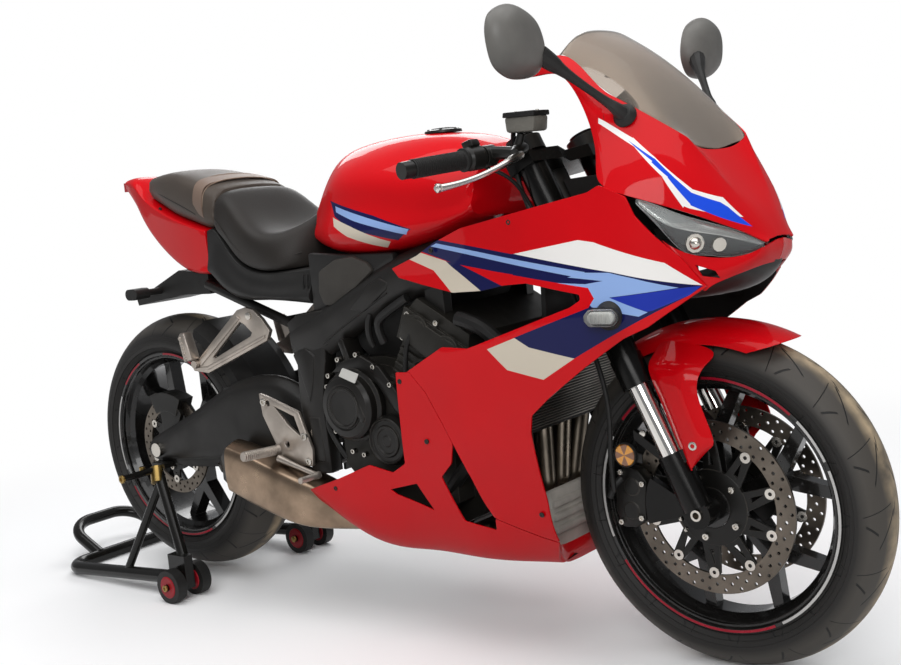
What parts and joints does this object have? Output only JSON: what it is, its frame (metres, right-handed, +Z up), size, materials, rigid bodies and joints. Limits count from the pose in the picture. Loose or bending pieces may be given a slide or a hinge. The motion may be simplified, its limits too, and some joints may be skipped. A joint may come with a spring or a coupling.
{
  "type": "fully faired four-cylinder sport motorcycle on a rear paddock stand",
  "caption": "Fully faired sport motorcycle, upright on a rear paddock stand, with steering, spinning wheels, folding side stand and stand rollers.",
  "frame": {"origin": "on the floor under the middle of the whole length, on the bike's centre plane", "axes": "+X forwards, +Y to the rider's left, +Z up"},
  "size_m": [2.2429, 0.7548, 1.172],
  "materials": {
    "axle_steel": "plated steel",
    "bar_black": "satin black",
    "caliper_black": "satin black",
    "chain_steel": "plated steel",
    "cover_black": "satin black engine covers",
    "disc_steel": "turned stainless steel",
    "engine_grey": "painted engine cases",
    "exhaust_steel": "heat-tinted stainless steel",
    "foot_silver": "brushed aluminium",
    "fork_black": "satin black anodised outer tubes and feet",
    "fork_chrome": "hard-chromed inner tubes",
    "frame_black": "satin black",
    "hose_black": "black rubber",
    "lamp_glass": "clear lens over a black inner",
    "lever_silver": "polished aluminium",
    "radiator_black": "black core",
    "red_paint": "gloss red with blue, navy and beige stripes",
    "screen_glass": "smoked clear plastic",
    "seat_black": "black seat cover",
    "seat_brown": "dark brown seat cover with strap",
    "signal_clear": "clear signal lens",
    "stand_black": "gloss black tube",
    "stand_red": "red roller hubs",
    "tail_red": "red lens",
    "trim_black": "moulded black plastic",
    "tyre": "matt black tread rubber",
    "wheel_black": "gloss black cast aluminium"
  },
  "bodies": {
    "chassis": {"belly_cowls": "red_paint", "dash_panel": "trim_black", "drive_chain": "chain_steel", "engine": "engine_grey", "engine_covers": "cover_black", "exhaust_headers": "exhaust_steel", "fairing_stay": "trim_black", "foot_controls": "foot_silver", "frame": "frame_black", "front_signals": "signal_clear", "fuel_tank": "red_paint", "head_lamps": "lamp_glass", "mirrors": "trim_black", "nose_chin": "trim_black", "paddock_stand": "stand_black", "pillion_hangers": "foot_silver", "pillion_seat": "seat_brown", "radiator": "radiator_black", "rear_axle_and_pivot": "axle_steel", "rear_caliper": "caliper_black", "rear_mudguards": "trim_black", "rear_shock": "frame_black", "rear_signals": "signal_clear", "rider_seat": "seat_black", "seat_base": "trim_black", "side_covers": "trim_black", "side_fairings": "red_paint", "silencer": "exhaust_steel", "swingarm": "frame_black", "tail_cowl": "red_paint", "tail_lamp": "tail_red", "upper_cowl": "red_paint", "windscreen": "screen_glass"},
    "steering": {"fork_inner_tubes": "fork_chrome", "fork_outer_tubes": "fork_black", "fork_feet": "fork_black", "front_axle": "axle_steel", "front_calipers": "caliper_black", "yokes": "frame_black", "handlebars": "bar_black", "grips": "hose_black", "hand_controls": "bar_black", "hand_levers": "lever_silver", "front_fender": "red_paint"},
    "front_wheel": {"front_tyre": "tyre", "front_rim": "wheel_black", "front_discs": "disc_steel"},
    "rear_wheel": {"rear_tyre": "tyre", "rear_rim": "wheel_black", "rear_disc": "disc_steel", "rear_sprocket": "axle_steel"},
    "side_stand": {"side_stand": "frame_black"},
    "rollers_right": {"stand_rollers_right": "stand_red"},
    "rollers_left": {"stand_rollers_left": "stand_red"}
  },
  "joints": [
    {"name": "steering_turn", "type": "hinge", "parent": "chassis", "child": "steering", "pos_m": [0.78753, 0, 0.284], "axis": [-0.421, 0, 0.907], "range_deg": [-27, 27]},
    {"name": "front_wheel_spin", "type": "hinge", "parent": "steering", "child": "front_wheel", "pos_m": [0.822, 0, 0.3], "axis": [0, 1, 0], "continuous": true},
    {"name": "rear_wheel_spin", "type": "hinge", "parent": "chassis", "child": "rear_wheel", "pos_m": [-0.628, 0, 0.33], "axis": [0, 1, 0], "continuous": true},
    {"name": "side_stand_swing", "type": "hinge", "parent": "chassis", "child": "side_stand", "pos_m": [-0.016, 0.152, 0.262], "axis": [-0.047, -0.9386, -0.3418], "range_deg": [0, 98.8]},
    {"name": "rollers_right_spin", "type": "hinge", "parent": "chassis", "child": "rollers_right", "pos_m": [-0.494, -0.205, 0.039], "axis": [0, 1, 0], "continuous": true},
    {"name": "rollers_left_spin", "type": "hinge", "parent": "chassis", "child": "rollers_left", "pos_m": [-0.494, 0.205, 0.039], "axis": [0, 1, 0], "continuous": true}
  ]
}
